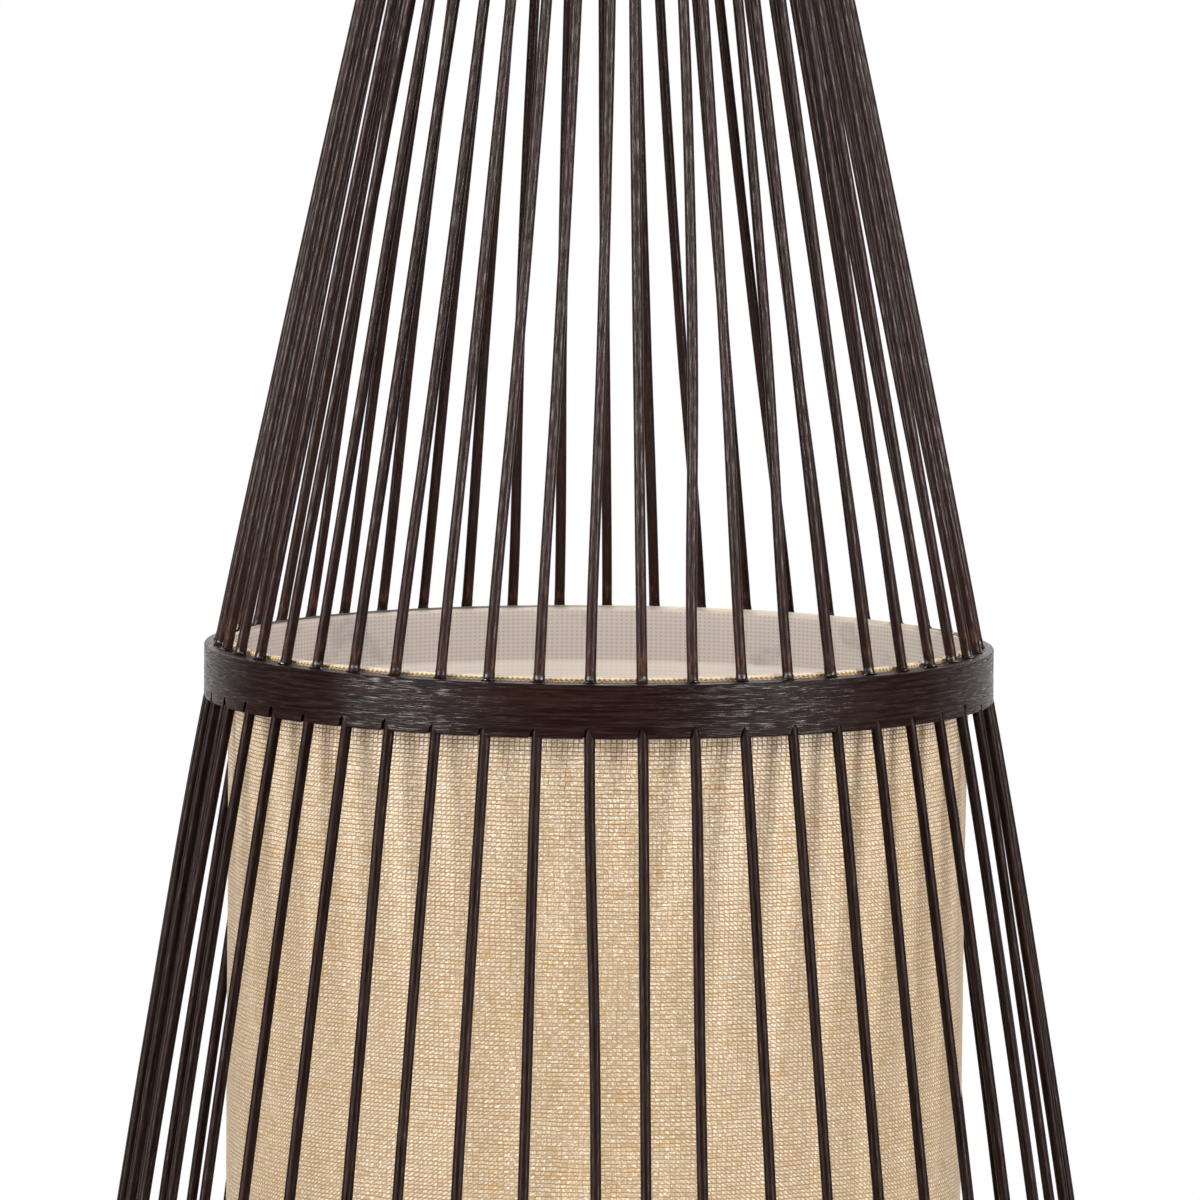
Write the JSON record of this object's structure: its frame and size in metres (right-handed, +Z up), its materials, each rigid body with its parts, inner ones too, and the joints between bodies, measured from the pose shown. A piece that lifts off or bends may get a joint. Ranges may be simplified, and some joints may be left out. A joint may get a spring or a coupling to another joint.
{
  "type": "floor lamp",
  "caption": "Cone-shaped floor lamp: a cage of slim dark rods runs through a bentwood hoop around a straw-coloured fabric drum shade, with a screw-in bulb inside.",
  "frame": {"origin": "on the floor, under the lamp's axis, at the centre of the base hoop's underside", "axes": "+Z up along the lamp's axis; -Y towards the front, where rod_01 stands"},
  "size_m": [0.4206, 0.4206, 0.918],
  "materials": {
    "rod_wood": "espresso stain under semi-gloss lacquer",
    "hoop_wood": "espresso stain, fine grain along the bend",
    "linen": "open straw-coloured plain weave",
    "liner_film": "translucent white film with the weave showing through",
    "white_wire": "white powder coat",
    "black_steel": "satin black powder coat",
    "bakelite": "moulded black plastic",
    "gland_plastic": "moulded black plastic",
    "solder": "dull solder",
    "brass": "rolled thread, bright",
    "opal_glass": "opal frosted"
  },
  "bodies": {
    "lamp": {"rod_01": "rod_wood", "rod_02": "rod_wood", "rod_03": "rod_wood", "rod_04": "rod_wood", "rod_05": "rod_wood", "rod_06": "rod_wood", "rod_07": "rod_wood", "rod_08": "rod_wood", "rod_09": "rod_wood", "rod_10": "rod_wood", "rod_11": "rod_wood", "rod_12": "rod_wood", "rod_13": "rod_wood", "rod_14": "rod_wood", "rod_15": "rod_wood", "rod_16": "rod_wood", "rod_17": "rod_wood", "rod_18": "rod_wood", "rod_19": "rod_wood", "rod_20": "rod_wood", "rod_21": "rod_wood", "rod_22": "rod_wood", "rod_23": "rod_wood", "rod_24": "rod_wood", "rod_25": "rod_wood", "rod_26": "rod_wood", "rod_27": "rod_wood", "rod_28": "rod_wood", "rod_29": "rod_wood", "rod_30": "rod_wood", "rod_31": "rod_wood", "rod_32": "rod_wood", "rod_33": "rod_wood", "rod_34": "rod_wood", "rod_35": "rod_wood", "rod_36": "rod_wood", "rod_37": "rod_wood", "rod_38": "rod_wood", "rod_39": "rod_wood", "rod_40": "rod_wood", "rod_41": "rod_wood", "rod_42": "rod_wood", "rod_43": "rod_wood", "rod_44": "rod_wood", "rod_45": "rod_wood", "rod_46": "rod_wood", "rod_47": "rod_wood", "rod_48": "rod_wood", "mid_hoop": "hoop_wood", "top_ring": "hoop_wood", "base_hoop": "hoop_wood", "shade_cover": "linen", "shade_liner": "liner_film", "shade_spider": "white_wire", "lamp_stand": "black_steel", "lampholder": "bakelite", "cable_gland": "gland_plastic"},
    "bulb_base": {"bulb_contact": "solder"},
    "bulb": {"bulb_cap": "brass", "bulb_globe": "opal_glass"}
  },
  "joints": [
    {"name": "bulb_lift", "type": "slide", "parent": "lamp", "child": "bulb_base", "axis": [0, 0, 1], "range_m": [0, 0.0146]},
    {"name": "bulb_turn", "type": "hinge", "parent": "bulb_base", "child": "bulb", "pos_m": [0, 0, 0.146], "axis": [0, 0, 1], "range_deg": [0, 1440]}
  ],
  "couplings": [
    {"joint": "bulb_lift", "follows": "bulb_turn", "m_per_rad": 0.00057757}
  ]
}
